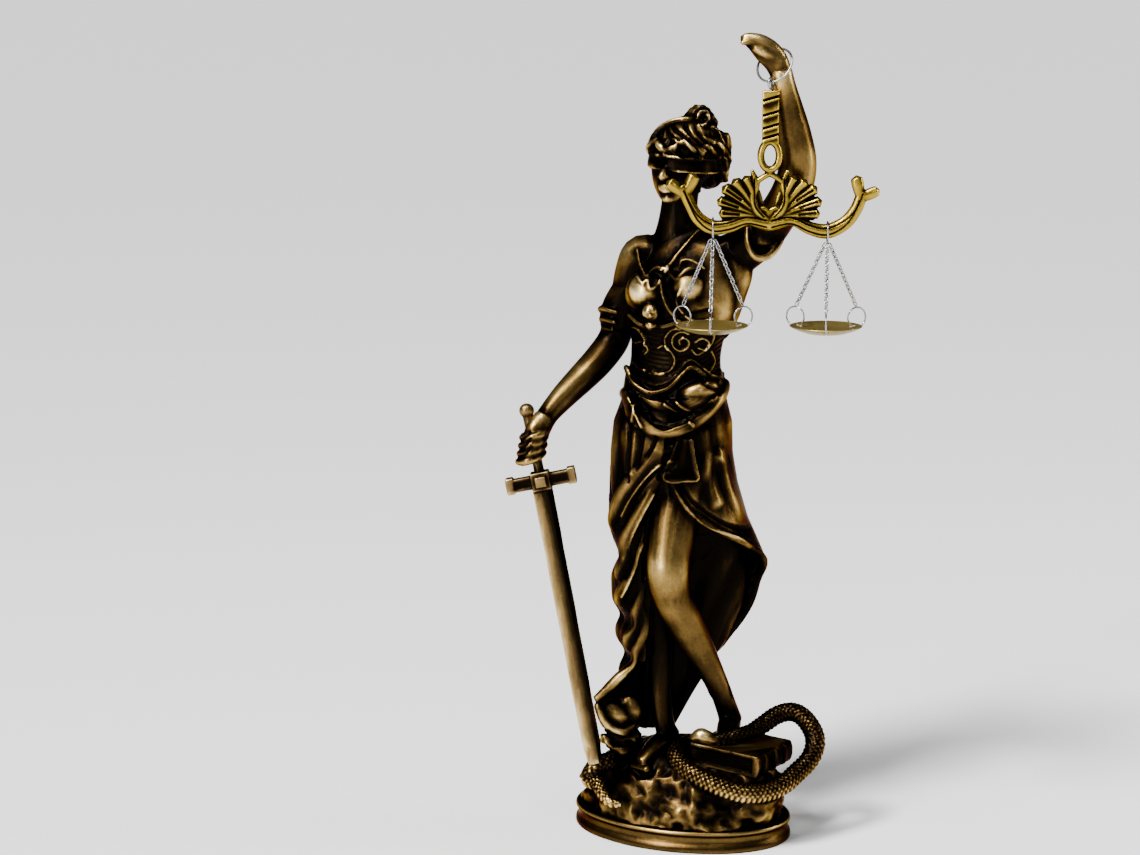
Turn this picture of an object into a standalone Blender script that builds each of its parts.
"""Lady justice statuette: a cast figure with sword, snake, book and oval base, and her scale."""
import math

import bmesh
import bpy
from mathutils import Matrix, Vector

# Sizes in metres. The figure's pose is a set of shares of its own height.
STATUE_HEIGHT = 0.310
UNIT = STATUE_HEIGHT / 310.0
BASE_LENGTH = 0.087
BASE_DEPTH = 0.062
PLINTH_HEIGHT = 0.009
PLINTH_COVE = 0.0014
SWORD_BLADE_WIDTH = 0.0084
SWORD_BLADE_THICKNESS = 0.0034
GUARD_LENGTH = 0.027
GUARD_SECTION = 0.0048
BOOK_LENGTH = 0.029
BOOK_WIDTH = 0.027
BOOK_THICKNESS = 0.0082
BEAM_THICKNESS = 0.0030
HANDLE_WIDTH = 0.0062
HOOK_RADIUS = 0.0037
HOOK_WIRE = 0.00035
PAN_RADIUS = 0.0133
PAN_WALL = 0.0009
PAN_DEPTH = 0.0030
PAN_DROP = 0.0350
PAN_HOLE_RADIUS = 0.00125
PAN_HOLE_INSET = 0.0022
PAN_RING_DROP = 0.0014
PAN_RING_RADIUS = 0.0037
PAN_RING_WIRE = 0.00032
CHAIN_LINK_PITCH = 0.0027
CHAIN_LINK_WIDTH = 0.0022
CHAIN_WIRE = 0.00060
PIECE_GAP = 0.0003
# The rings at the hand follow the figure's size.
WRIST_RING_RADIUS = 6.8 * UNIT
WRIST_RING_WIRE = 0.45 * UNIT
EYE_RADIUS = 1.8 * UNIT
EYE_WIRE = 0.5 * UNIT
HAND_GAP = 0.3 * UNIT
CAST_GRAIN = 0.0010
BEAM_GRAIN = 0.00048
STATUE_FACES = 5150
BEAM_FACES = 1250

# The pose is written in units of one 310th of the height, then turned so that the base lies along X.
TURN = math.radians(21.0)
TO_PART = Matrix.Rotation(TURN, 4, "Z") @ Matrix.Scale(UNIT, 4)
BODY_YAW = -TURN


def units(metres):
    return metres / UNIT


def clear_scene():
    for item in list(bpy.data.objects):
        bpy.data.objects.remove(item, do_unlink=True)


def spline(rows, steps):
    """Catmull-Rom points through rows of numbers."""
    if len(rows) < 3 or steps < 2:
        return [tuple(row) for row in rows]
    out = []
    last = len(rows) - 1
    for i in range(last):
        a = rows[max(i - 1, 0)]
        b = rows[i]
        c = rows[i + 1]
        d = rows[min(i + 2, last)]
        for k in range(steps):
            t = k / steps
            out.append(tuple(
                0.5 * (2 * q + (r - p) * t + (2 * p - 5 * q + 4 * r - s) * t * t
                       + (3 * q - p - 3 * r + s) * t * t * t)
                for p, q, r, s in zip(a, b, c, d)))
    out.append(tuple(rows[last]))
    return out


def skin(bm, rings, ends):
    """Closed skin over rings of equal count, with one end point at each end."""
    loops = [[bm.verts.new(point) for point in ring] for ring in rings]
    count = len(loops[0])
    for low, high in zip(loops, loops[1:]):
        for k in range(count):
            n = (k + 1) % count
            bm.faces.new((low[k], low[n], high[n], high[k]))
    first = bm.verts.new(ends[0])
    final = bm.verts.new(ends[1])
    for k in range(count):
        n = (k + 1) % count
        bm.faces.new((loops[0][n], loops[0][k], first))
        bm.faces.new((loops[-1][k], loops[-1][n], final))


def tube(bm, rows, steps=3, sides=10, flat=1.0, across=(0, 1, 0), blunt=0.6):
    """Round or flattened tube through rows of x, y, z, radius."""
    path = spline(rows, steps)
    points = [Vector(row[:3]) for row in path]
    radii = [max(row[3], 0.05) for row in path]
    rings = []
    side = Vector(across)
    for i, point in enumerate(points):
        ahead = points[min(i + 1, len(points) - 1)]
        behind = points[max(i - 1, 0)]
        along = (ahead - behind).normalized()
        side = side - along * side.dot(along)
        if side.length < 1e-6:
            side = along.orthogonal()
        side.normalize()
        other = along.cross(side)
        ring = []
        for k in range(sides):
            turn = 2 * math.pi * k / sides
            ring.append(point + radii[i] * (math.cos(turn) * flat * side + math.sin(turn) * other))
        rings.append(ring)
    start = points[0] - (points[1] - points[0]).normalized() * radii[0] * blunt
    stop = points[-1] + (points[-1] - points[-2]).normalized() * radii[-1] * blunt
    skin(bm, rings, (start, stop))


def stack(bm, rows, steps=3, sides=24, yaw=0.0, power=2.0):
    """Upright loft of ovals, rows of z, x, y, half width, half depth."""
    rings = []
    path = spline(rows, steps)
    for z, x, y, wide, deep in path:
        ring = []
        for k in range(sides):
            turn = 2 * math.pi * k / sides
            c = math.cos(turn)
            s = math.sin(turn)
            u = wide * math.copysign(abs(c) ** (2 / power), c)
            v = deep * math.copysign(abs(s) ** (2 / power), s)
            ring.append(Vector((
                x + u * math.cos(yaw) - v * math.sin(yaw),
                y + u * math.sin(yaw) + v * math.cos(yaw), z)))
        rings.append(ring)
    low = path[0]
    high = path[-1]
    skin(bm, rings, (Vector((low[1], low[2], low[0])), Vector((high[1], high[2], high[0]))))


def ball(bm, centre, sizes, yaw=0.0, tilt=0.0, rings=7, sides=12):
    matrix = (Matrix.Translation(centre) @ Matrix.Rotation(yaw, 4, "Z") @ Matrix.Rotation(tilt, 4, "Y")
              @ Matrix.Diagonal((sizes[0], sizes[1], sizes[2], 1.0)))
    bmesh.ops.create_uvsphere(bm, u_segments=sides, v_segments=rings, radius=1.0, matrix=matrix)


def cloth(bm, rows, thick, steps=3):
    """Closed thick sheet over a grid of points: rows of equal count."""
    grid = [[Vector(p) for p in spline(row, steps)] for row in rows]
    columns = [spline([tuple(row[k]) for row in grid], steps) for k in range(len(grid[0]))]
    face = [[Vector(columns[k][i]) for k in range(len(columns))] for i in range(len(columns[0]))]
    tall = len(face)
    wide = len(face[0])
    upper = []
    lower = []
    for i in range(tall):
        up_row = []
        low_row = []
        for k in range(wide):
            du = face[i][min(k + 1, wide - 1)] - face[i][max(k - 1, 0)]
            dv = face[min(i + 1, tall - 1)][k] - face[max(i - 1, 0)][k]
            normal = du.cross(dv)
            if normal.length < 1e-9:
                normal = Vector((0, -1, 0))
            normal.normalize()
            up_row.append(bm.verts.new(face[i][k] + normal * thick / 2))
            low_row.append(bm.verts.new(face[i][k] - normal * thick / 2))
        upper.append(up_row)
        lower.append(low_row)
    for i in range(tall - 1):
        for k in range(wide - 1):
            bm.faces.new((upper[i][k], upper[i][k + 1], upper[i + 1][k + 1], upper[i + 1][k]))
            bm.faces.new((lower[i][k], lower[i + 1][k], lower[i + 1][k + 1], lower[i][k + 1]))
    edge = ([(0, k) for k in range(wide)] + [(i, wide - 1) for i in range(1, tall)]
            + [(tall - 1, k) for k in range(wide - 2, -1, -1)] + [(i, 0) for i in range(tall - 2, 0, -1)])
    for (a, b), (c, d) in zip(edge, edge[1:] + edge[:1]):
        bm.faces.new((upper[a][b], lower[a][b], lower[c][d], upper[c][d]))


def block(bm, centre, sizes, matrix=None):
    turn = matrix if matrix else Matrix.Identity(4)
    place = Matrix.Translation(centre) @ turn @ Matrix.Diagonal((sizes[0], sizes[1], sizes[2], 1.0))
    bmesh.ops.create_cube(bm, size=1.0, matrix=place)


def table(rows, x):
    """Straight-line reading of a table of pairs."""
    for (a, p), (b, q) in zip(rows, rows[1:]):
        if a <= x <= b:
            return p + (q - p) * (x - a) / (b - a)
    return rows[0][1] if x < rows[0][0] else rows[-1][1]


# The gown's outer form: height, centre x, centre y, half width, half depth.
GOWN = [
    (172, -4.2, 0.5, 19.6, 15.5), (162, -4.6, 0.5, 22.6, 18.0), (150, -4.8, 1.0, 23.3, 20.0),
    (138, -3.2, 1.5, 23.8, 21.5), (124, -1.0, 2.0, 25.4, 22.5), (110, 2.4, 2.5, 27.8, 22.5),
    (101, 2.2, 3.0, 29.2, 22.0), (89, 1.2, 3.5, 27.8, 20.5), (79, -0.6, 4.0, 25.0, 18.5),
    (67, -3.4, 4.0, 20.6, 15.5), (56, -8.0, 3.5, 16.4, 13.0), (44, -12.5, 3.0, 13.0, 11.0),
    (30, -13.0, 3.0, 12.0, 10.0)]
# The hem's height round the gown, by angle from the front toward the viewer's right.
HEM = [
    (0, 141), (11, 131), (26, 124), (54, 117), (84, 110), (100, 101), (110, 90), (120, 80), (130, 68),
    (150, 56), (180, 48), (210, 40), (240, 36), (262, 38), (280, 50), (300, 62), (317, 72), (326, 82),
    (330, 96), (334, 116), (348, 132), (360, 141)]


def gown_at(z):
    columns = list(zip(*GOWN))
    return [table(sorted(zip(columns[0], column)), z) for column in columns[1:]]


def gown_point(turn, z, offset=0.0):
    """A point on the gown's outside at an angle in degrees and a height."""
    x, y, wide, deep = gown_at(z)
    angle = math.radians(turn)
    fall = min(max((170 - z) / 60.0, 0.0), 1.0)
    fold = 0.0
    if turn > 190:
        fold = 1.5 * math.sin(math.radians(turn * 13) + z * 0.02)
    elif turn > 100:
        fold = 1.3 * math.sin(math.radians(turn * 11) - z * 0.03)
    else:
        fold = 0.9 * math.sin(math.radians(turn * 9) + (172 - z) * 0.075)
    swell = fold * fall + offset
    return Vector((x + (wide + swell) * math.sin(angle), y - (deep + swell) * math.cos(angle), z))


def gown(bm, around=72, down=20, wall=2.6):
    """The gown as a ring of cloth whose hem rises at the slit."""
    outer = []
    inner = []
    for i in range(around):
        turn = 360.0 * i / around
        hem = table(HEM, turn)
        column = []
        under = []
        for k in range(down + 1):
            z = 172 + (hem - 172) * k / down
            column.append(bm.verts.new(gown_point(turn, z)))
            under.append(bm.verts.new(gown_point(turn, z, -wall)))
        outer.append(column)
        inner.append(under)
    for i in range(around):
        n = (i + 1) % around
        for k in range(down):
            bm.faces.new((outer[i][k], outer[i][k + 1], outer[n][k + 1], outer[n][k]))
            bm.faces.new((inner[i][k], inner[n][k], inner[n][k + 1], inner[i][k + 1]))
        bm.faces.new((outer[i][down], inner[i][down], inner[n][down], outer[n][down]))
        bm.faces.new((outer[i][0], outer[n][0], inner[n][0], inner[i][0]))


def hem_roll(bm):
    """Rolled edges of the gown, round the slit, the right side and the left panel."""
    def along(first, last, step, radius, lift=-0.6):
        rows = []
        turn = first
        while turn <= last:
            spot = gown_point(turn % 360, table(HEM, turn % 360), lift)
            rows.append((spot.x, spot.y, spot.z, radius))
            turn += step
        tube(bm, rows, 2, 6)
    along(2, 152, 10, 1.9)
    along(282, 358, 6, 1.5)


def drapery(bm):
    """Swag round the hips, the hanging folds at the left and the pooled cloth behind the leg."""
    stack(bm, [
        (120, -2.0, 2.0, 18.0, 14.0), (135, -3.4, 2.0, 23.0, 18.0), (155, -4.6, 1.0, 22.6, 18.0),
        (170, -4.5, 0.5, 20.5, 16.0), (182, -4.4, 0.0, 18.8, 14.0)], 2, 24, BODY_YAW)
    tube(bm, [(-22, -9, 174, 2.4), (-19, -15, 167, 2.8), (-12, -18.6, 161.8, 3.2), (-3, -19.6, 162, 3.2),
              (6, -17.5, 167, 3.0), (12.4, -11.5, 173, 2.8), (14.6, -2, 176, 2.4), (12, 9, 174, 2.4),
              (-1, 14.5, 170, 2.6), (-16, 11, 170, 2.6), (-22.6, 2, 173, 2.4), (-22, -9, 174, 2.4)], 3, 8)
    tube(bm, [(-19, -10.5, 177, 2.2), (-11, -16.0, 171, 2.6), (0, -17.5, 171, 2.8), (7.5, -14.5, 174.5, 2.7),
              (12.2, -8.5, 178.5, 2.2)], 3, 8)
    ball(bm, (4.2, -13.6, 175.5), (8.6, 5.2, 4.6), 0, -0.3)
    tube(bm, [(-21.5, -11, 173, 2.0), (-20.5, -14, 168, 2.3), (-19.5, -13.5, 162, 1.8)], 2, 7)
    tube(bm, [(-19.7, -14, 170, 2.2), (-16.5, -16, 164, 2.2), (-16, -16, 158.5, 1.5)], 2, 7)
    tube(bm, [(-22.5, -12, 166, 2.4), (-24.5, -11, 152, 2.6), (-25.0, -11, 138, 2.4)], 3, 7)
    tube(bm, [(-17.5, -15.5, 160, 2.2), (-20.5, -15.5, 148, 2.4), (-22.5, -14.5, 138, 2.2)], 3, 7)
    tube(bm, [(-3, -19.5, 153, 1.8), (-10.5, -18.5, 153, 2.2), (-15, -17.5, 147, 2.3), (-20.5, -15.5, 141, 2.3),
              (-24.8, -12, 133.0, 2.4), (-27.6, -8, 125.6, 2.3), (-26.0, -9, 120.5, 1.8)], 3, 7)
    tube(bm, [(-9, -19.5, 148, 1.6), (-13.5, -18.5, 141, 2.1), (-18.0, -17, 133, 2.3), (-22.5, -14, 122, 2.3),
              (-25.5, -11, 111, 2.3), (-24.5, -11, 104, 1.6)], 3, 7)
    tube(bm, [(-15.5, -17.5, 134, 1.8), (-19, -17, 120, 2.2), (-21.4, -15, 106, 2.3), (-22, -13, 94, 2.2),
              (-23.5, -11, 84, 1.8)], 3, 7)
    tube(bm, [(-23.6, -9, 112, 1.8), (-24.4, -8, 104, 2.0), (-26.6, -7, 96.5, 2.2), (-22.0, -8, 88, 2.0),
              (-22.4, -8, 80, 2.2), (-19.4, -8, 70, 1.8)], 3, 7)
    tube(bm, [(-15, -17, 104, 1.6), (-16.5, -16, 94, 2.2), (-19, -13.5, 86, 2.0)], 3, 7)
    tube(bm, [(-13.6, -15, 90, 1.4), (-14.8, -14, 82, 1.9), (-17.6, -12.5, 75, 2.1), (-21.4, -12, 68.0, 2.1),
              (-27.4, -12.5, 60.8, 2.0), (-33.6, -13, 55.0, 1.6)], 3, 7)
    cloth(bm, [
        [(-14, -10, 84), (-17.5, -10, 73), (-22.5, -10.5, 65.5), (-32.5, -12, 55)],
        [(-15, -7, 72), (-18, -7, 64), (-24, -8, 57), (-32, -11.5, 51)],
        [(-15, -3, 58), (-19, -3, 52), (-25, -5, 47), (-30, -9, 44)],
        [(-16, 0, 42), (-20, 0, 38), (-25, -3, 35), (-28, -6, 33)]], 3.0, 2)
    tube(bm, [(-33, -12.5, 53, 1.6), (-29.5, -13, 46, 2.4), (-24, -12.5, 42.3, 2.6), (-19, -10, 44.5, 2.0)], 3, 7)
    tube(bm, [(-31, -11, 39.5, 1.8), (-25, -11.5, 35, 2.6), (-20, -10, 33.5, 2.4)], 3, 7)
    tube(bm, [(-27, -10, 41, 1.8), (-22, -10.5, 37, 2.4), (-19, -8, 38, 2.0)], 3, 7)
    tube(bm, [(0.5, -20.5, 158, 2.0), (-2.8, -22, 151, 2.3), (-6.6, -22, 145, 1.4)], 2, 7, 0.6)
    tube(bm, [(0.8, -20.5, 158, 2.0), (3.0, -22, 151, 2.4), (4.4, -22, 144, 1.4)], 2, 7, 0.6)
    tube(bm, [(0.4, -20, 156, 1.8), (-0.5, -22.6, 149, 2.6), (-0.8, -22.6, 143, 1.8)], 2, 7, 0.6)
    tube(bm, [(5.5, -19.5, 160, 1.4), (7.2, -20.5, 148, 1.7), (8.6, -20.5, 136, 1.5), (12, -20, 127, 1.2)], 3, 6)
    tube(bm, [(10, -18, 160, 1.2), (14, -17, 146, 1.7), (18, -16, 134, 1.6), (24, -14, 121, 1.3)], 3, 6)
    tube(bm, [(26.5, 2, 100, 1.6), (21.5, 4, 86, 2.4), (14, 5, 72, 2.4), (5, 5, 58, 2.0), (-1, 4, 50, 1.6)], 3, 7)
    stack(bm, [
        (40, -12, 5, 9.0, 6.0), (52, -8, 6, 11.5, 7.5), (66, -4, 7, 15.5, 9.5), (80, -1, 8, 19.5, 11.5),
        (95, 1, 8, 23.0, 13.0), (112, 1, 6, 24.0, 15.0), (126, -1, 3, 22.0, 16.0)], 2, 20)


def legs(bm):
    tube(bm, [(4, -4, 150, 13.0), (-2.5, -11, 133, 11.0), (-5.5, -17, 117, 9.2), (-6.0, -20.5, 106, 8.3),
              (-4.3, -18.5, 97, 7.4), (-0.4, -15, 88, 7.0), (3.4, -12, 80, 6.4), (8.4, -9, 70, 5.4),
              (13.6, -6.6, 59, 4.6), (16.8, -4.4, 50, 4.8), (18.6, -2.4, 44, 4.6)], 3, 14)
    ball(bm, (-6.4, -24.6, 108), (5.0, 4.2, 6.0))
    tube(bm, [(18.8, -0.6, 42.6, 4.4), (17.8, -5.5, 43.2, 4.8), (16.6, -11, 41.4, 4.2), (15.4, -16, 40.2, 3.0)],
         3, 12, 0.9, (1, 0, 0))
    for k, size in enumerate((1.55, 1.3, 1.25, 1.2, 1.1)):
        ball(bm, (12.0 + 1.9 * k, -18.4 + 0.5 * abs(k - 1.2), 39.9), (size, 2.4, size), 0, 0, 6, 8)
    tube(bm, [(-15, 2, 150, 12.0), (-13, -3, 118, 9.5), (-11, -5, 98, 7.8), (-9.6, -4.6, 82, 6.0),
              (-9.1, -4, 68, 5.1), (-8.7, -4, 54, 4.5), (-7.2, -3.6, 43, 4.1), (-5.4, -2.2, 37.5, 4.5)], 3, 14)
    tube(bm, [(-4.8, -1.2, 35.2, 4.0), (-8.6, -6.5, 35.2, 4.6), (-12.6, -12.5, 32.6, 4.1), (-15.8, -17.2, 30.4, 2.8)],
         3, 12)
    for k, size in enumerate((1.5, 1.25, 1.2, 1.15, 1.05)):
        ball(bm, (-13.4 - 1.3 * k, -19.9 + 1.1 * k, 29.6), (size, 2.1, size), math.radians(-37), 0, 6, 8)


def torso(bm):
    stack(bm, [
        (170, -4.5, 0.3, 20.2, 15.5), (177, -4.3, 0.0, 18.8, 14.0), (187, -3.8, 0.0, 17.6, 12.8),
        (196, -3.0, -0.6, 18.6, 13.2), (204, -1.6, -1.0, 21.0, 14.2), (213, -1.4, -0.8, 22.4, 14.0),
        (220, -0.6, -0.2, 21.4, 12.4), (225, 0.2, 0.6, 19.6, 10.8), (230, 0.8, 1.4, 16.0, 8.8),
        (234.5, -0.8, 1.8, 10.8, 7.6), (238, -2.2, 1.8, 8.0, 7.0)], 3, 28, BODY_YAW)
    ball(bm, (-13.8, -10.4, 213.2), (8.4, 7.2, 8.6), BODY_YAW)
    ball(bm, (1.6, -13.6, 215.8), (8.4, 7.2, 8.6), BODY_YAW)
    stack(bm, [(232, -2.4, 2.0, 9.0, 7.6), (237, -3.0, 1.6, 7.9, 7.0), (245, -2.6, 1.0, 6.8, 6.4),
               (252, -1.6, 1.0, 6.8, 6.8)], 3, 16)
    # Corset edge, dipping at both sides of the front, and the two straps over the chest.
    edge = [(-22.6, 0, 182.5), (-22.4, -5, 182.4), (-19.8, -11, 178.4), (-13.6, -15.2, 175.4),
            (-7.4, -16.0, 176.6), (-2.4, -16.0, 181.0), (2.2, -15.4, 185.0), (6.2, -14.0, 182.2),
            (9.8, -11.4, 178.8), (13.0, -6.5, 178.0), (14.0, 2, 180)]
    tube(bm, [point + (1.4,) for point in edge], 3, 6)
    tube(bm, [(-18.6, -3, 228, 1.1), (-16.8, -9.5, 222.4, 1.1), (-13.6, -13.2, 218.8, 1.2),
              (-9.6, -13.4, 218.6, 1.2), (-5.2, -11.8, 223.6, 1.1), (0.0, -9.0, 229, 1.1),
              (4.6, -5.5, 233, 1.1)], 3, 6)
    tube(bm, [(-12.8, -15.6, 218.4, 1.2), (-9.8, -17.6, 213.4, 1.3), (-5.2, -18.2, 207.6, 1.3),
              (-2.4, -17.4, 203, 1.2)], 3, 6)
    ball(bm, (-13.2, -16.6, 205.2), (3.5, 2.6, 4.2))
    tube(bm, [(-21.5, -9.5, 203, 1.4), (-16.5, -14.4, 199.8, 1.6), (-9.5, -16.2, 199.8, 1.6),
              (-2.0, -16.6, 202.6, 1.4), (6.6, -14.0, 206, 1.3), (14.5, -8.5, 207.6, 1.2)], 3, 6)


def arms(bm):
    tube(bm, [(12, 0.5, 223, 9.0), (20.5, -3.0, 227.4, 8.4), (28.6, -10.5, 235.0, 7.6), (34.4, -19.5, 244.5, 7.2),
              (38.6, -27.5, 254.0, 7.2), (40.0, -31, 263, 6.9), (38.2, -33, 273, 6.6), (36.0, -35.4, 283, 5.5),
              (34.2, -37.4, 291, 4.5), (33.2, -38.0, 296.4, 4.1)], 3, 14)
    tube(bm, [(33.4, -38.0, 295.4, 4.0), (31.2, -38.4, 300.0, 4.5), (28.2, -38.9, 303.6, 4.7), (24.8, -39.4, 306.4, 3.9),
              (22.0, -39.8, 307.9, 2.9), (19.6, -40.1, 308.6, 1.9)], 3, 12, 0.78)
    tube(bm, [(29.0, -41.8, 300.8, 1.7), (25.0, -42.6, 302.8, 1.6), (22.0, -42.0, 305.0, 1.2)], 3, 8)
    tube(bm, [(-9, 2, 224, 8.6), (-16.4, 3.6, 225.4, 8.0), (-20.2, 5.8, 217.5, 7.2), (-22.6, 8.2, 208, 6.4),
              (-25.4, 9.8, 199, 6.2), (-28.0, 9.6, 191, 6.2), (-33.4, 5.5, 184.0, 6.1), (-39.2, 0.5, 178.4, 5.7),
              (-45.8, -4.5, 172.2, 5.0), (-51.4, -8.6, 166.2, 4.2), (-54.0, -10.8, 162.4, 4.2)], 3, 14)
    tube(bm, [(-53.6, -10.6, 163.0, 4.2), (-56.2, -12.0, 158.6, 4.7), (-57.4, -12.8, 153.8, 4.4),
              (-57.8, -13.2, 150.0, 3.2)], 3, 10)
    for k in range(4):
        z = 160.0 - 3.0 * k
        tube(bm, [(-52.6 - 0.45 * k, -13.2, z, 1.3), (-54.4 - 0.6 * k, -17.0, z - 1.0, 1.5),
                  (-58.6 - 0.6 * k, -17.0, z - 2.4, 1.5), (-61.2 - 0.4 * k, -14.0, z - 3.0, 1.4)], 3, 7)
    # Short sleeves: a ruffle at the hanging arm and an open cuff under the raised arm.
    stack(bm, [(192, -25.6, 9.8, 6.4, 6.2), (199, -25.6, 9.4, 8.2, 8.0), (206, -24.0, 8.8, 8.0, 7.8),
               (213, -21.0, 7.0, 7.6, 7.6)], 2, 14)
    tube(bm, [(-26.0, -0.5, 203, 1.6), (-31.8, 4.0, 203.5, 1.9), (-32.6, 9.5, 202.6, 2.0), (-29.0, 15.5, 201.4, 1.6)],
         2, 7)
    tube(bm, [(-27.5, 1.5, 198, 1.3), (-31.0, 5.5, 198.5, 1.6), (-31.0, 10.5, 198, 1.5)], 2, 7)
    tube(bm, [(13, -2, 227, 8.0), (17.8, -5, 221, 7.2), (16.4, -5, 212, 6.4), (14.4, -4, 203, 5.4),
              (12.0, -2, 196, 4.0)], 3, 12)
    tube(bm, [(25.5, -9, 238, 6.6), (28.6, -14.0, 235.0, 6.0), (28.8, -16.5, 230.4, 4.2)], 3, 10)
    tube(bm, [(22.6, -15.5, 238, 1.3), (22.8, -18.5, 232, 1.5), (25.6, -20.5, 227.4, 1.6), (30.4, -20.0, 228.0, 1.6),
              (34.4, -17.5, 233.0, 1.5), (35.6, -15.5, 238, 1.3)], 3, 7)


def head(bm):
    ball(bm, (-0.8, 1.0, 263.4), (12.6, 13.0, 12.6), BODY_YAW, 0, 12, 18)
    stack(bm, [(246.4, -6.2, -9.4, 2.6, 2.2), (248.2, -5.8, -8.0, 4.8, 4.4), (252, -4.8, -5.4, 7.6, 7.6),
               (257, -3.8, -3.0, 9.4, 10.2), (263, -3.0, -2.0, 10.0, 11.2), (269, -2.0, -1.0, 9.0, 10.6)],
          3, 18, math.radians(-32))
    tube(bm, [(-7.9, -13.4, 261.4, 0.9), (-9.4, -15.6, 256.6, 1.3), (-8.8, -14.0, 254.8, 1.2)], 2, 7)
    tube(bm, [(-10.4, -11.8, 251.8, 0.7), (-8.0, -13.2, 251.6, 1.0), (-5.2, -12.6, 251.8, 0.7)], 2, 6)
    # The blindfold: a flat band tied at the back.
    band = []
    for k in range(15):
        turn = 2 * math.pi * k / 14
        band.append((-1.6 + 12.6 * math.cos(turn), -0.9 + 13.6 * math.sin(turn),
                     260.8 - 1.2 * math.cos(turn), 2.6))
    tube(bm, band, 2, 8, 0.42, (1, 0, 0), 0.1)
    # Hair: rolls swept up under a round band, a small bun on top and a mass at the nape.
    for k in range(12):
        turn = math.radians(-150 + 28 * k)
        x = math.cos(turn)
        y = math.sin(turn)
        tube(bm, [(-0.8 + 12.2 * x, 0.6 + 12.8 * y, 264.4, 1.9), (-0.4 + 12.4 * x, 0.9 + 12.9 * y, 268.4, 2.8),
                  (0.2 + 9.8 * x, 1.4 + 10.4 * y, 272.4, 2.7)], 2, 7)
    band = []
    for k in range(13):
        turn = 2 * math.pi * k / 12
        band.append((0.4 + 9.6 * math.cos(turn), 1.6 + 10.2 * math.sin(turn), 273.8 + 0.8 * math.cos(turn), 1.4))
    tube(bm, band, 2, 6, 1.0, (1, 0, 0), 0.1)
    ball(bm, (0.8, 1.8, 272.6), (9.4, 9.6, 4.2))
    ball(bm, (3.6, 2.6, 277.2), (4.6, 4.6, 3.8))
    ball(bm, (7.8, 4.8, 275.0), (3.4, 3.4, 3.2))
    ball(bm, (8.6, 6.0, 266.4), (6.4, 7.2, 6.6))
    ball(bm, (8.2, 7.0, 256.6), (5.4, 6.6, 6.8))


def rocks(bm):
    """The mound, with lumps placed by a turning step."""
    long_half = units(BASE_LENGTH) / 2
    deep_half = units(BASE_DEPTH) / 2
    low = units(PLINTH_HEIGHT) - 4.0
    rows = [(low, 0.915), (low + 5, 0.93), (15, 0.90), (20, 0.85), (26, 0.72), (31, 0.56), (35, 0.33)]
    stack(bm, [(z, -1.0 + 1.5 * s, 0.5, long_half * s, deep_half * s) for z, s in rows], 2, 26, BODY_YAW)
    ball(bm, (22, -16, 20), (18, 13, 15), BODY_YAW)
    ball(bm, (-8, -8, 25), (14, 12, 10), BODY_YAW)
    for k in range(34):
        turn = 2.39996 * k
        share = 0.62 + 0.30 * math.sin(1.7 * k) ** 2
        height = 27 - 22 * (share - 0.5) + 3 * math.sin(2.3 * k)
        u = long_half * share * math.cos(turn)
        v = deep_half * share * math.sin(turn)
        x = u * math.cos(BODY_YAW) - v * math.sin(BODY_YAW)
        y = u * math.sin(BODY_YAW) + v * math.cos(BODY_YAW)
        size = 4.2 + 1.6 * math.sin(3.1 * k)
        ball(bm, (x * 0.92, y * 0.92, height), (size * 1.25, size * 0.8, size * 0.7), turn, 0.5, 5, 7)


SNAKE = [
    (3.4, -17.5, 40.6, 1.6), (6.6, -17.2, 42.0, 3.2), (9.4, -17.8, 41.6, 2.9), (12.6, -18.0, 41.0, 2.4),
    (20.0, -16.0, 42.0, 2.7), (26.0, -12.5, 42.6, 3.0), (31.0, -8.5, 44.4, 3.4), (36.6, -5.0, 47.2, 3.5),
    (42.6, -4.2, 48.2, 3.6), (47.6, -6.0, 45.4, 3.7), (51.0, -10.0, 39.4, 3.8), (49.2, -14.5, 33.2, 3.7),
    (43.6, -20.0, 28.8, 3.7), (38.0, -25.5, 25.6, 3.7), (31.2, -30.0, 24.2, 3.7), (23.4, -33.0, 24.6, 3.7),
    (15.2, -33.5, 27.0, 3.6), (7.0, -31.5, 30.2, 3.5), (0.4, -27.0, 33.0, 3.4), (-2.6, -21.5, 36.0, 3.2),
    (-1.0, -15.0, 37.6, 3.0), (0.5, -6.0, 35.5, 3.0), (-7.0, 6.5, 32.0, 3.0), (-17.0, 6.5, 29.5, 3.2),
    (-22.0, -4.0, 28.6, 3.5), (-27.5, -10.5, 29.6, 3.6), (-33.2, -13.0, 28.0, 3.6), (-35.6, -14.0, 23.2, 3.3),
    (-32.4, -17.5, 22.8, 2.9), (-30.4, -21.0, 20.2, 2.5), (-27.6, -24.0, 17.6, 2.0), (-23.6, -26.0, 17.2, 1.2)]


def snake(bm):
    tube(bm, SNAKE, 4, 10)


def book_frame():
    lie = math.radians(-31)
    along = Vector((math.cos(lie), math.sin(lie), -0.03)).normalized()
    across = Vector((0, 0, 1)).cross(along).normalized()
    up = along.cross(across)
    turn = Matrix((along, across, up)).transposed().to_4x4()
    return Vector((22.0, -12.5, 34.8)), turn


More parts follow.
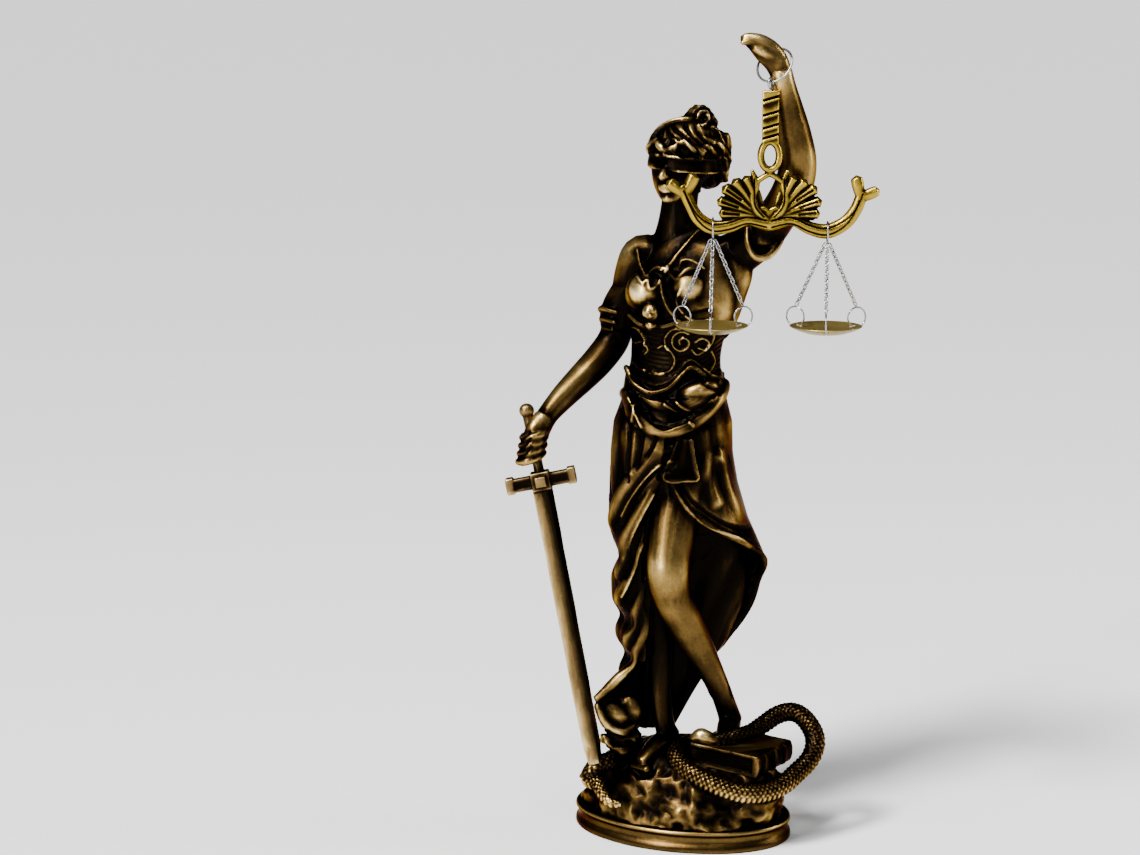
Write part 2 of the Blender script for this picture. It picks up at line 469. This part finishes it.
def book(bm):
    centre, turn = book_frame()
    length = units(BOOK_LENGTH)
    width = units(BOOK_WIDTH)
    thick = units(BOOK_THICKNESS)
    cover = thick * 0.16
    place = Matrix.Translation(centre) @ turn
    block(bm, place @ Vector((0.4, 0, (thick - cover) / 2)), (length, width, cover), turn)
    block(bm, place @ Vector((0.4, 0, -(thick - cover) / 2)), (length, width, cover), turn)
    block(bm, place @ Vector((0, 0, 0)), (length - 2.0, width - 2.4, thick - cover), turn)
    spine = length / 2 - 0.2
    ends = [place @ Vector((spine, side * width / 2, 0)) for side in (-1, 1)]
    tube(bm, [tuple(end) + (thick / 2,) for end in ends], 1, 10, 0.4, tuple(turn @ Vector((1, 0, 0))), 0.02)
    for share in (-0.28, 0.0, 0.28):
        spot = [place @ Vector((spine + 0.5, width * share + side, 0)) for side in (-1.0, 1.0)]
        tube(bm, [tuple(end) + (thick / 2 + 0.1,) for end in spot], 1, 10, 0.42,
             tuple(turn @ Vector((1, 0, 0))), 0.02)


POMMEL = Vector((-59.6, -10.4, 165.6))
GUARD = Vector((-54.4, -14.0, 141.0))
TIP = Vector((-33.6, -15.0, 30.0))


def sword(bm):
    """Sword, held point down beside the figure; the tip runs into the rock."""
    tube(bm, [tuple(POMMEL) + (2.1,), tuple(POMMEL.lerp(GUARD, 0.5)) + (1.9,), tuple(GUARD) + (2.1,)], 2, 8)
    ball(bm, tuple(POMMEL + Vector((-0.4, 0, 1.6))), (2.9, 2.6, 2.8))
    tilt = Matrix.Rotation(math.radians(-11.5), 4, "Y")
    section = units(GUARD_SECTION)
    block(bm, tuple(GUARD), (units(GUARD_LENGTH), section * 0.8, section), tilt)
    block(bm, tuple(GUARD), (section * 1.5, section * 1.35, section * 1.45), tilt)
    for side in (-1, 1):
        end = Matrix.Translation(GUARD) @ tilt @ Vector((side * (units(GUARD_LENGTH) / 2 - 0.8), 0, 0))
        block(bm, tuple(end), (section * 0.55, section, section * 1.3), tilt)
    down = (TIP - GUARD).normalized()
    flat = Vector((math.cos(math.radians(22)), math.sin(math.radians(22)), 0))
    flat = (flat - down * flat.dot(down)).normalized()
    ridge = down.cross(flat)
    half = units(SWORD_BLADE_WIDTH) / 2
    thick = units(SWORD_BLADE_THICKNESS) / 2
    rings = []
    for share, wide in ((0.0, 1.0), (0.5, 0.97), (0.93, 0.92), (1.0, 0.7)):
        centre = GUARD.lerp(TIP, share)
        rings.append([
            centre + flat * half * wide, centre + flat * half * 0.35 * wide + ridge * thick,
            centre - flat * half * 0.35 * wide + ridge * thick, centre - flat * half * wide,
            centre - flat * half * 0.35 * wide - ridge * thick, centre + flat * half * 0.35 * wide - ridge * thick])
    skin(bm, rings, (GUARD.copy(), TIP.copy()))


def plinth(bm):
    """The oval moulded foot, with a flat underside."""
    tall = units(PLINTH_HEIGHT)
    cove = units(PLINTH_COVE)
    long_half = units(BASE_LENGTH) / 2
    deep_half = units(BASE_DEPTH) / 2
    profile = [(0.0, 0.0), (0.26, 0.0), (0.36, -cove * 0.6), (0.56, -cove), (0.72, -cove * 0.5),
               (0.84, -0.2), (0.95, -0.5), (1.0, -cove)]
    rings = []
    sides = 44
    for share, step in profile:
        ring = []
        for k in range(sides):
            turn = 2 * math.pi * k / sides
            u = (long_half + step) * math.cos(turn)
            v = (deep_half + step) * math.sin(turn)
            ring.append(Vector((u * math.cos(BODY_YAW) - v * math.sin(BODY_YAW),
                                u * math.sin(BODY_YAW) + v * math.cos(BODY_YAW), tall * share)))
        rings.append(ring)
    skin(bm, rings, (Vector((0, 0, 0)), Vector((0, 0, tall))))


def mesh_object(name, builders):
    bm = bmesh.new()
    for build in builders:
        build(bm)
    bmesh.ops.recalc_face_normals(bm, faces=bm.faces)
    bm.transform(TO_PART)
    mesh = bpy.data.meshes.new(name)
    bm.to_mesh(mesh)
    bm.free()
    item = bpy.data.objects.new(name, mesh)
    bpy.context.scene.collection.objects.link(item)
    return item


def fixed(item):
    """Turn the modifiers' result into the object's own mesh."""
    bpy.context.view_layer.update()
    graph = bpy.context.evaluated_depsgraph_get()
    mesh = bpy.data.meshes.new_from_object(item.evaluated_get(graph))
    item.modifiers.clear()
    item.data = mesh
    return item


def cast_in_one(item, grain, faces, smooth=2):
    """Fuse overlapping closed shells into one skin and thin it to a face count."""
    fuse = item.modifiers.new("fuse", "REMESH")
    fuse.mode = "VOXEL"
    fuse.voxel_size = grain
    soft = item.modifiers.new("soft", "SMOOTH")
    soft.factor = 0.5
    soft.iterations = smooth
    fixed(item)
    keep_largest(item)
    count = sum(len(face.vertices) - 2 for face in item.data.polygons)
    thin = item.modifiers.new("thin", "DECIMATE")
    thin.ratio = min(1.0, faces / count)
    thin.use_collapse_triangulate = True
    fixed(item)
    keep_largest(item)
    return item


def keep_largest(item):
    """Drop specks that are not joined to the main body."""
    bm = bmesh.new()
    bm.from_mesh(item.data)
    bm.verts.ensure_lookup_table()
    seen = set()
    groups = []
    for vert in bm.verts:
        if vert.index in seen:
            continue
        group = []
        todo = [vert]
        seen.add(vert.index)
        while todo:
            spot = todo.pop()
            group.append(spot)
            for edge in spot.link_edges:
                other = edge.other_vert(spot)
                if other.index not in seen:
                    seen.add(other.index)
                    todo.append(other)
        groups.append(group)
    groups.sort(key=len, reverse=True)
    for group in groups[1:]:
        bmesh.ops.delete(bm, geom=group, context="VERTS")
    bm.to_mesh(item.data)
    bm.free()
    item.data.update()


def join_solid(item, tools):
    """Union crisp parts into a body."""
    for tool in tools:
        step = item.modifiers.new("join", "BOOLEAN")
        step.operation = "UNION"
        step.solver = "EXACT"
        step.object = tool
        fixed(item)
        bpy.data.objects.remove(tool, do_unlink=True)
    return item


def finish(item, colour, rough, metal):
    bm = bmesh.new()
    bm.from_mesh(item.data)
    bmesh.ops.remove_doubles(bm, verts=bm.verts, dist=2e-5)
    bmesh.ops.dissolve_degenerate(bm, edges=bm.edges, dist=2e-5)
    bmesh.ops.triangulate(bm, faces=bm.faces)
    bm.to_mesh(item.data)
    bm.free()
    paint = bpy.data.materials.new(item.name + "_paint")
    paint.use_nodes = True
    shader = paint.node_tree.nodes["Principled BSDF"]
    shader.inputs["Base Color"].default_value = colour
    shader.inputs["Roughness"].default_value = rough
    shader.inputs["Metallic"].default_value = metal
    item.data.materials.clear()
    item.data.materials.append(paint)
    return item


BRONZE = (0.16, 0.10, 0.045, 1.0)
GOLD = (0.42, 0.30, 0.08, 1.0)
STEEL = (0.55, 0.56, 0.58, 1.0)
DISH = (0.33, 0.25, 0.09, 1.0)


def build_statue():
    """The one casting: fused forms, then the crisp plinth."""
    body = mesh_object("statue", [gown, hem_roll, drapery, legs, torso, arms, head, rocks, snake, book, sword])
    cast_in_one(body, CAST_GRAIN, STATUE_FACES)
    foot = mesh_object("foot_tool", [plinth])
    join_solid(body, [foot])
    return finish(body, BRONZE, 0.38, 0.7)


def torus(bm, centre, normal, radius, wire, around=16, sides=5):
    axis = Vector(normal).normalized()
    u = axis.orthogonal().normalized()
    v = axis.cross(u)
    loops = []
    for i in range(around):
        turn = 2 * math.pi * i / around
        out = u * math.cos(turn) + v * math.sin(turn)
        spot = Vector(centre) + out * radius
        loops.append([
            bm.verts.new(spot + wire * (math.cos(2 * math.pi * k / sides) * out
                                        + math.sin(2 * math.pi * k / sides) * axis))
            for k in range(sides)])
    for i in range(around):
        a = loops[i]
        b = loops[(i + 1) % around]
        for k in range(sides):
            n = (k + 1) % sides
            bm.faces.new((a[k], a[n], b[n], b[k]))


# The scale hangs in its own upright plane, across the photo's line of sight.
HANG_Y = -42.4
HANG_LEVEL = 240.0
HANDLE_X = 29.6
HANDLE_TOP = 289.6
DIP_LEFT = (9.4, 240.6)
DIP_RIGHT = (50.6, 239.4)
DIP_HALF = 2.7
RIB_KNEE = 0.62
PAN_FLARE = 0.62


def beam_parts(bm):
    """Handle, loop, lotus, two arms and the ribs, all in one upright plane."""
    half = units(BEAM_THICKNESS) / 2
    y = HANG_Y

    def line(points, radius, steps=4, sides=8, thick=1.0):
        rows = [(x, y, z, r * radius) for x, z, r in points]
        tube(bm, rows, steps, sides, thick * half / radius, (0, 1, 0))

    grip = units(HANDLE_WIDTH) / 2
    block(bm, (HANDLE_X, y, (HANDLE_TOP + 272.0) / 2), (2 * grip - 0.8, 2 * half, HANDLE_TOP - 272.0))
    for k in range(4):
        z = 274.6 + 4.4 * k
        line([(HANDLE_X - grip + 0.6, z - 0.9, 0.8), (HANDLE_X, z, 1.0), (HANDLE_X + grip - 0.6, z + 0.9, 0.8)],
             1.75, 2, 6, 1.25)
    loop = []
    for k in range(13):
        turn = 2 * math.pi * k / 12
        loop.append((HANDLE_X + 3.3 * math.cos(turn), 266.4 + 5.0 * math.sin(turn), 1.0))
    line(loop, 1.3, 2, 6, 1.05)
    line([(HANDLE_X, 261.6, 1.0), (HANDLE_X, 259.6, 0.7)], 2.2, 2, 6)
    for side in (-1, 1):
        def out(step):
            return HANDLE_X + side * step
        line([(out(0.2), 243.4, 1.0), (out(4.2), 246.6, 1.15), (out(6.0), 251.6, 1.1), (out(5.0), 256.6, 0.95),
              (out(6.4), 261.2, 0.45)], 1.55)
        line([(out(0.2), 259.8, 0.8), (out(2.6), 258.6, 0.9), (out(5.0), 256.8, 0.9)], 1.2)
        line([(out(0.1), 246.4, 0.9), (out(2.2), 247.4, 0.9), (out(4.0), 246.8, 0.8)], 1.3)
        for reach, high, size in ((9.0, 258.6, 1.0), (12.8, 257.4, 1.15), (16.4, 255.0, 1.15), (18.2, 250.4, 1.05),
                                  (17.6, 246.0, 1.0)):
            line([(out(3.4), 244.6, 0.8), (out(reach * RIB_KNEE + 0.6), 244.6 + (high - 244.6) * RIB_KNEE, 1.0),
                  (out(reach), high, 1.25 * size)], 1.3, 3, 6)
        line([(out(3.4), 243.4, 0.8), (out(10.0), 246.8, 0.9), (out(13.0), 250.2, 0.9)], 1.7, 3, 6, 0.6)
    line([(23.4, 242.8, 0.8), (HANDLE_X, 241.9, 1.2), (35.8, 242.8, 0.8)], 2.0)
    line([(28.6, 242.0, 0.75), (21.8, 243.2, 0.85), (15.4, 241.2, 1.1), (9.4, 240.6, 1.25), (4.4, 243.6, 1.1),
          (1.4, 248.4, 0.95), (-0.6, 252.6, 1.0), (-2.4, 255.0, 1.0)], 2.2)
    line([(-0.9, 252.6, 0.9), (1.2, 256.4, 1.0), (2.6, 259.4, 0.8)], 2.0)
    line([(-1.2, 252.8, 0.9), (-4.4, 255.2, 1.0), (-6.6, 256.8, 0.75)], 2.0)
    line([(30.6, 242.0, 0.75), (37.6, 243.2, 0.85), (44.4, 240.4, 1.1), (50.6, 239.4, 1.25), (56.8, 242.4, 1.15),
          (60.6, 247.2, 1.05), (62.4, 251.8, 1.0), (63.4, 253.4, 1.0)], 2.2)
    line([(62.2, 251.8, 0.9), (61.2, 255.8, 1.0), (60.6, 258.8, 0.85)], 2.0)
    line([(62.4, 251.6, 0.9), (65.6, 252.8, 1.0), (68.6, 254.2, 0.8)], 2.0)


def build_beam():
    item = mesh_object("scale_beam", [beam_parts])
    cast_in_one(item, BEAM_GRAIN, BEAM_FACES, 1)
    return finish(item, GOLD, 0.3, 0.85)


def ring_piece(name, centre, normal, radius, wire, around=20, sides=5, colour=STEEL):
    def make(bm):
        torus(bm, centre, normal, units(radius), units(wire), around, sides)
    return finish(mesh_object(name, [make]), colour, 0.25, 1.0)


# The three rings of each pan, by angle from the viewer's right, turned away from the viewer.
PAN_RING_TURNS = (-93, 27, 147)


def pan_piece(name, x):
    """Shallow dish turned from a profile, with three small holes by the rim."""
    rim = HANG_LEVEL - units(PAN_DROP)
    radius = units(PAN_RADIUS)
    wall = units(PAN_WALL)
    deep = units(PAN_DEPTH)
    outer = [(0.30, -deep), (0.72, -deep * PAN_FLARE), (0.95, -deep * 0.16), (1.0, 0.0)]
    inner = [(0.955, 0.0), (0.70, -deep * PAN_FLARE + wall * 0.9)]

    def make(bm):
        sides = 20
        rings = []
        for share, drop in outer + inner:
            rings.append([Vector((x + radius * share * math.cos(2 * math.pi * k / sides),
                                  HANG_Y + radius * share * math.sin(2 * math.pi * k / sides), rim + drop))
                          for k in range(sides)])
        skin(bm, rings, (Vector((x, HANG_Y, rim - deep)), Vector((x, HANG_Y, rim - deep + wall))))

    def drill(bm):
        for turn in PAN_RING_TURNS:
            angle = math.radians(turn)
            reach = radius - units(PAN_HOLE_INSET)
            spot = (x + reach * math.cos(angle), HANG_Y + reach * math.sin(angle), rim)
            bmesh.ops.create_cone(bm, cap_ends=True, segments=6, radius1=units(PAN_HOLE_RADIUS),
                                  radius2=units(PAN_HOLE_RADIUS), depth=4 * deep, matrix=Matrix.Translation(spot))
    dish = mesh_object(name, [make])
    cutter = mesh_object(name + "_cutter", [drill])
    cut = dish.modifiers.new("holes", "BOOLEAN")
    cut.operation = "DIFFERENCE"
    cut.solver = "EXACT"
    cut.object = cutter
    fixed(dish)
    bpy.data.objects.remove(cutter, do_unlink=True)
    return finish(dish, DISH, 0.35, 0.9)


def chain_piece(name, top, foot):
    """A fused run of links: flat oval beads, each turned a quarter from the last."""
    top = Vector(top)
    foot = Vector(foot)
    length = (top - foot).length
    count = max(4, round(length / units(CHAIN_LINK_PITCH)))
    along = (foot - top).normalized()
    side = along.orthogonal().normalized()
    other = along.cross(side)
    wide = units(CHAIN_LINK_WIDTH) / 2
    thin = units(CHAIN_WIRE) / 2

    def make(bm):
        rings = []
        for i in range(count):
            for share, swell in ((0.28, 1.0), (0.72, 1.0)):
                spot = top + along * length * (i + share) / count
                a = side * (wide * swell if i % 2 == 0 else thin)
                b = other * (thin if i % 2 == 0 else wide * swell)
                rings.append([spot + a, spot + b, spot - a, spot - b])
        skin(bm, rings, (top, foot))
    return finish(mesh_object(name, [make]), STEEL, 0.3, 1.0)


def build_suspension(side, x, z):
    """One pan with its hook round the beam, three chains and three rim rings."""
    gap = units(PIECE_GAP)
    hook = units(HOOK_RADIUS)
    wire = units(HOOK_WIRE)
    centre = z + DIP_HALF + gap + wire - hook
    ring_piece("hook_" + side, (x, HANG_Y, centre), (1, 0, 0), HOOK_RADIUS, HOOK_WIRE, 16, 4)
    pan_piece("pan_" + side, x)
    start = centre - hook - wire - gap
    loop = units(PAN_RING_RADIUS)
    ring_wire = units(PAN_RING_WIRE)
    for k, turn in enumerate(PAN_RING_TURNS):
        angle = math.radians(turn)
        out = Vector((math.cos(angle), math.sin(angle), 0))
        reach = units(PAN_RADIUS - PAN_HOLE_INSET) + loop * 0.48
        lift = loop - units(PAN_RING_DROP)
        centre = Vector((x, HANG_Y, HANG_LEVEL - units(PAN_DROP) + lift)) + out * reach
        ring_piece("pan_ring_%s_%d" % (side, k + 1), centre, (-out.y, out.x, 0),
                   PAN_RING_RADIUS, PAN_RING_WIRE, 14, 3)
        high = Vector((x, HANG_Y, start)) + out * 0.95
        low = centre + Vector((0, 0, loop + ring_wire + gap)) - out * 0.4
        chain_piece("chain_%s_%d" % (side, k + 1), high, low)


def build_scale():
    gap = units(HAND_GAP)
    build_beam()
    eye = Vector((HANDLE_X, HANG_Y, HANDLE_TOP + gap + units(EYE_WIRE) + units(EYE_RADIUS)))
    ring_piece("beam_eye", eye, (0.87, -0.48, 0), EYE_RADIUS, EYE_WIRE, 14, 5)
    wrist_low = eye + Vector((0, 0, units(EYE_RADIUS) - units(EYE_WIRE) - gap - units(WRIST_RING_WIRE)))
    normal = Vector((-0.45, -0.72, 0.53)).normalized()
    up = Vector((0.2, 0.5, 0.8))
    up = (up - normal * up.dot(normal)).normalized()
    ring_piece("wrist_ring", wrist_low + up * units(WRIST_RING_RADIUS), normal,
               WRIST_RING_RADIUS, WRIST_RING_WIRE, 26, 4)
    build_suspension("left", *DIP_LEFT)
    build_suspension("right", *DIP_RIGHT)


def main():
    clear_scene()
    build_statue()
    build_scale()


main()
